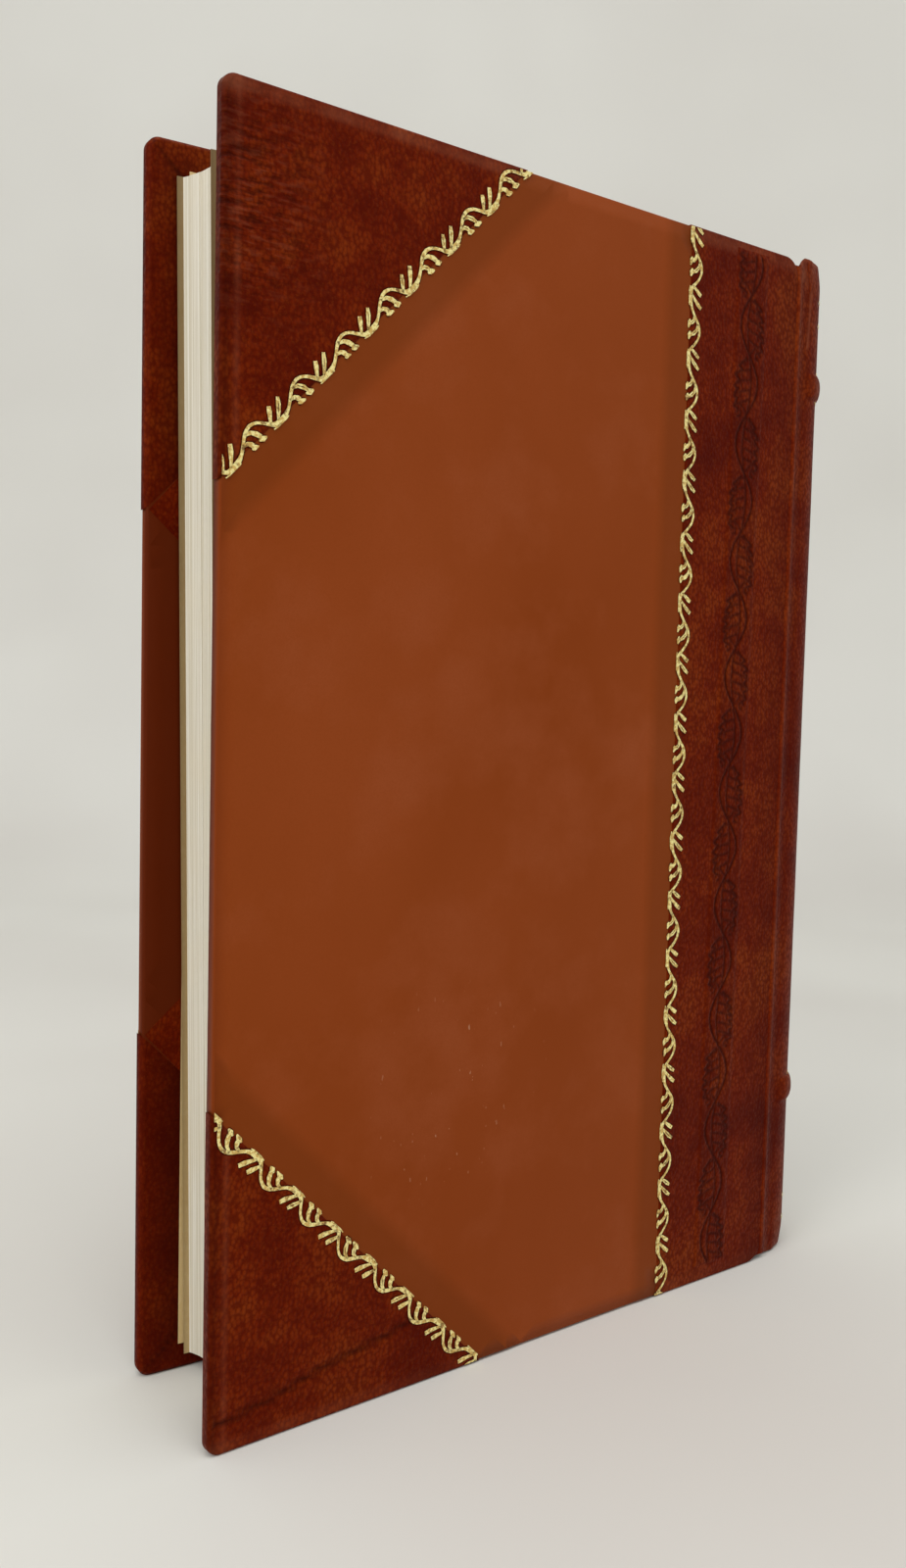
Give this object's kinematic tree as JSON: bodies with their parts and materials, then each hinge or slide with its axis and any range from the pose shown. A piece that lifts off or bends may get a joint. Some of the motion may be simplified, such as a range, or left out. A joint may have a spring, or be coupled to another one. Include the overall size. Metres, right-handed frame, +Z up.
{
  "type": "antique leather book",
  "caption": "Half-leather bound book with rounded spine, raised bands, leather corners and gilt vine lines, standing on its tail edge with the back cover ajar.",
  "frame": {"origin": "middle of the base, where the book stands on its tail edge", "axes": "+Z up from the tail edge to the head edge, +X from the fore edge to the spine, back cover on the -Y side"},
  "size_m": [0.1664, 0.0367, 0.2405],
  "materials": {
    "leather": "grained, mottled red-brown calf with a soft polish",
    "siding": "smooth tan siding, satin",
    "card": "grey-brown pressed board",
    "pages": "off-white paper, matt",
    "endpaper": "cream endpaper, matt",
    "mull": "open cotton lining cloth",
    "endband": "wrapped thread",
    "gold": "gold leaf tooling, slightly worn"
  },
  "bodies": {
    "book_block": {"text_block": "pages", "front_flyleaf": "endpaper", "back_flyleaf": "endpaper", "spine_lining": "mull", "spine_card": "card", "head_band": "card", "tail_band": "card", "head_endband": "endband", "tail_endband": "endband", "spine_leather": "leather", "spine_gold_lines": "gold"},
    "back_cover": {"back_board": "card", "back_spine_strip": "leather", "back_siding": "siding", "back_tail_corner": "leather", "back_head_corner": "leather", "back_pastedown": "endpaper", "back_gold_roll_spine": "gold", "back_gold_roll_tail": "gold", "back_gold_roll_head": "gold"},
    "front_cover": {"front_board": "card", "front_spine_strip": "leather", "front_siding": "siding", "front_tail_corner": "leather", "front_head_corner": "leather", "front_pastedown": "endpaper", "front_gold_roll_spine": "gold", "front_gold_roll_tail": "gold", "front_gold_roll_head": "gold"}
  },
  "joints": [
    {"name": "back_cover_hinge", "type": "hinge", "parent": "book_block", "child": "back_cover", "pos_m": [0.06778, -0.00499, 0.1195], "axis": [0, 0, 1], "range_deg": [-5.1, 170]},
    {"name": "front_cover_hinge", "type": "hinge", "parent": "book_block", "child": "front_cover", "pos_m": [0.06778, 0.01841, 0.1195], "axis": [0, 0, -1], "range_deg": [0, 175]}
  ]
}
